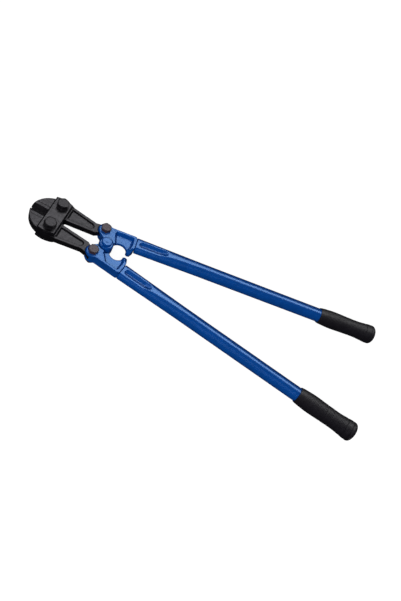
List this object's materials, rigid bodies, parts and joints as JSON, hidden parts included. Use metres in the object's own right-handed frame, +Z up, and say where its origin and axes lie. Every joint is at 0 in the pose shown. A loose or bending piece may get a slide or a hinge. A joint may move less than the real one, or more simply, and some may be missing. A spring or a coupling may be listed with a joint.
{
  "type": "bolt cutters",
  "caption": "Long two-handled bolt cutters with forged jaws between bolted link plates, a lapped centre pivot, flattened steel tubes and flared rubber grips.",
  "frame": {"origin": "middle of the footprint on the surface the tool lies on", "axes": "+X from the jaws to the grips, +Z up out of the flat tool, +Y the side of the upper handle"},
  "size_m": [0.7364, 0.2742, 0.0465],
  "materials": {
    "jaw_steel": "forged tool steel with a dark oxide finish, satin",
    "plate_steel": "dark grey satin enamel",
    "head_hardware": "blackened steel bolt, satin",
    "handle_hardware": "oxidised zinc plate, slightly warm grey",
    "casting_enamel": "blue gloss enamel over a casting",
    "tube_enamel": "blue gloss enamel on a smooth tube",
    "grip_rubber": "moulded black rubber with fine ribs"
  },
  "bodies": {
    "head": {"top_link_plate": "plate_steel", "bottom_link_plate": "plate_steel", "upper_jaw_bolt": "head_hardware", "lower_jaw_bolt": "head_hardware", "upper_jaw_nut": "head_hardware", "lower_jaw_nut": "head_hardware"},
    "upper_jaw": {"upper_jaw": "jaw_steel"},
    "lower_jaw": {"lower_jaw": "jaw_steel"},
    "upper_handle": {"upper_handle_casting": "casting_enamel", "upper_handle_bolt": "handle_hardware", "upper_handle_washer": "handle_hardware", "upper_handle_nut": "handle_hardware", "upper_tube": "tube_enamel", "upper_grip": "grip_rubber", "center_rivet": "casting_enamel", "center_washer": "handle_hardware"},
    "lower_handle": {"lower_handle_casting": "casting_enamel", "lower_handle_bolt": "handle_hardware", "lower_handle_washer": "handle_hardware", "lower_handle_nut": "handle_hardware", "lower_tube": "tube_enamel", "lower_grip": "grip_rubber"}
  },
  "joints": [
    {"name": "upper_handle_swing", "type": "hinge", "parent": "upper_jaw", "child": "upper_handle", "pos_m": [-0.22774, 0.029, 0.0205], "axis": [0, 0, 1], "range_deg": [-1.8, 40]},
    {"name": "lower_handle_swing", "type": "hinge", "parent": "lower_jaw", "child": "lower_handle", "pos_m": [-0.22774, -0.029, 0.0205], "axis": [0, 0, -1], "range_deg": [-1.9, 40.1]},
    {"name": "upper_jaw_bite", "type": "hinge", "parent": "head", "child": "upper_jaw", "pos_m": [-0.31824, 0.026, 0.0205], "axis": [0, 0, -1], "range_deg": [-0.35, 7.49]},
    {"name": "lower_jaw_bite", "type": "hinge", "parent": "head", "child": "lower_jaw", "pos_m": [-0.31824, -0.026, 0.0205], "axis": [0, 0, 1], "range_deg": [-0.35, 7.49]}
  ],
  "couplings": [
    {"joint": "lower_handle_swing", "follows": "upper_handle_swing", "ratio": 1},
    {"joint": "upper_jaw_bite", "follows": "upper_handle_swing", "ratio": 0.186},
    {"joint": "lower_jaw_bite", "follows": "upper_handle_swing", "ratio": 0.186}
  ]
}
